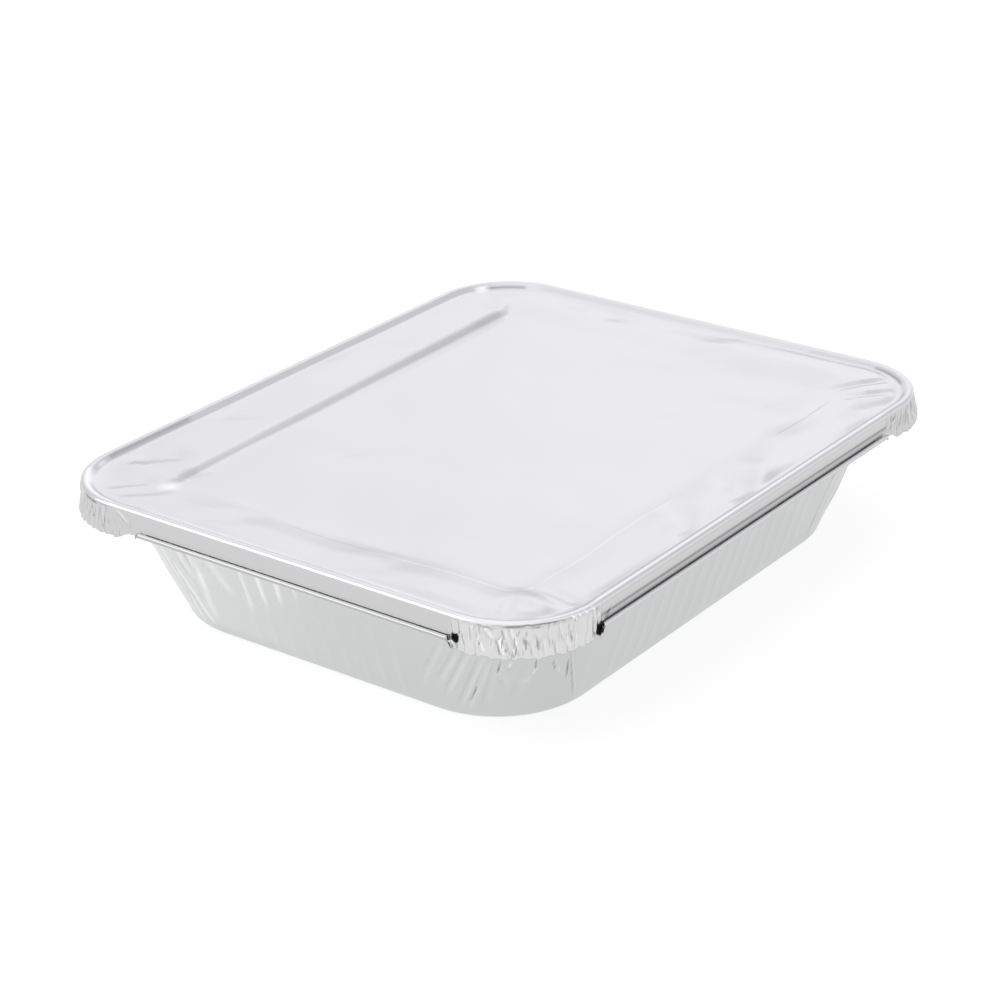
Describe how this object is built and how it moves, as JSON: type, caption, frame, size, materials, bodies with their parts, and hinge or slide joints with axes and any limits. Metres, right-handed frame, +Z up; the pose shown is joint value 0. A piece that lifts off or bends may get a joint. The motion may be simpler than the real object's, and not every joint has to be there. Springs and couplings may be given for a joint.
{
  "type": "foil food container",
  "caption": "Tapered rectangular foil tray with ribbed walls, closed by a flat foil lid with a raised bead, hemmed skirt and gathered corners.",
  "frame": {"origin": "on the surface it stands on, under the middle of the closed container", "axes": "+X along the length, +Y across the width, +Z up; the corner with the longest hem is at low X and low Y"},
  "size_m": [0.324, 0.264, 0.065],
  "materials": {
    "tray_foil": "bright rolled foil, pressed ribs and creased corners",
    "lid_foil": "satin foil, brighter on the bead and the gathered corners"
  },
  "bodies": {
    "tray": {"tray": "tray_foil"},
    "lid": {"lid": "lid_foil"}
  },
  "joints": [
    {"name": "lid_lift", "type": "slide", "parent": "tray", "child": "lid", "axis": [0, 0, 1], "range_m": [0, 0.1]}
  ]
}
